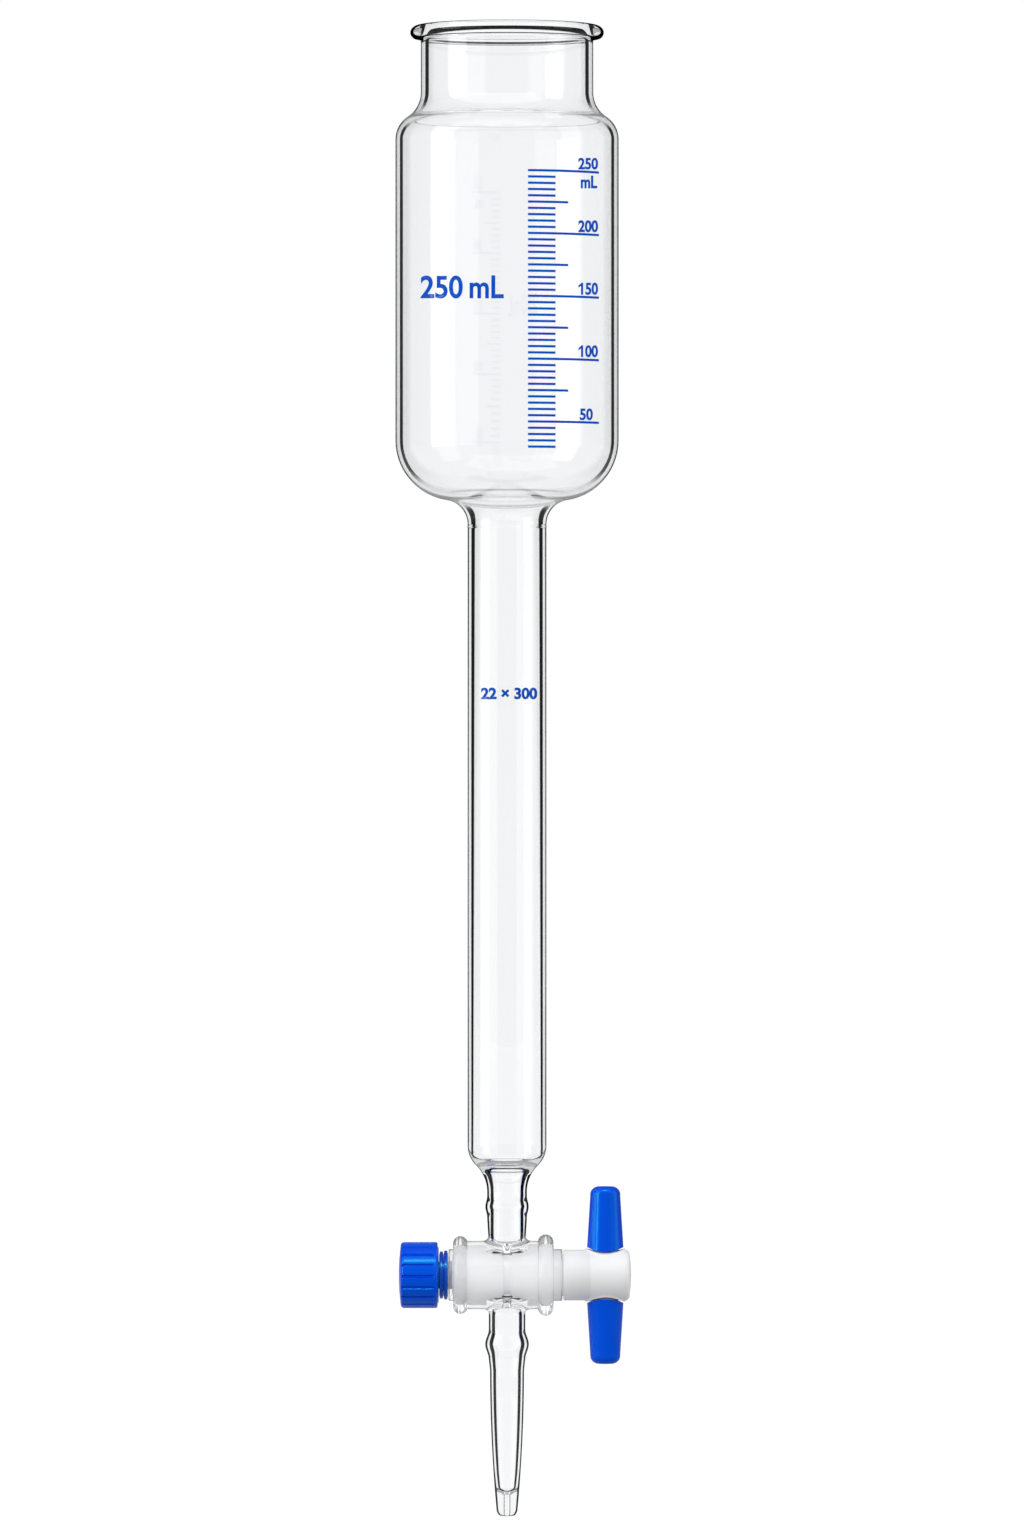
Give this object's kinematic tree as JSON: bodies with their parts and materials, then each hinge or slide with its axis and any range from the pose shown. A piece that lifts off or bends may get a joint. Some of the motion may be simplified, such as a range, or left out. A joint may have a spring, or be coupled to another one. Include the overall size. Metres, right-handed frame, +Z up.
{
  "type": "glass chromatography column",
  "caption": "Clear glass chromatography column: rimmed reservoir, straight tube, tapered outlet and drawn tip, with a white plug stopcock, blue T-handle and blue tension nut.",
  "frame": {"origin": "on the tube's axis, halfway up its straight length, where a stand clamp holds it", "axes": "+Z up along the column towards the open rim, +X along the stopcock from the nut to the handle, +Y to the back; the printed side faces -Y"},
  "size_m": [0.0665, 0.063, 0.4203],
  "materials": {
    "glass": "clear, polished",
    "white_plug": "waxy satin",
    "blue_plastic": "satin gloss",
    "blue_ring": "satin",
    "ink": "fired blue enamel print"
  },
  "bodies": {
    "column": {"glass_column": "glass"},
    "plug": {"stopcock_plug": "white_plug", "grip_upper": "blue_plastic", "grip_lower": "blue_plastic", "friction_washer": "blue_ring"},
    "ring": {"stem_ring": "blue_ring"},
    "nut": {"tension_nut": "blue_plastic"}
  },
  "joints": [
    {"name": "plug_turn", "type": "hinge", "parent": "column", "child": "plug", "pos_m": [0, 0, -0.1232], "axis": [1, 0, 0], "continuous": true},
    {"name": "nut_travel", "type": "slide", "parent": "plug", "child": "ring", "axis": [-1, 0, 0], "range_m": [0, 0.006]},
    {"name": "nut_turn", "type": "hinge", "parent": "ring", "child": "nut", "pos_m": [-0.0193, 0, -0.1232], "axis": [-1, 0, 0], "range_deg": [0, 1440]}
  ],
  "couplings": [
    {"joint": "nut_turn", "follows": "nut_travel", "rad_per_m": 4188.8}
  ]
}
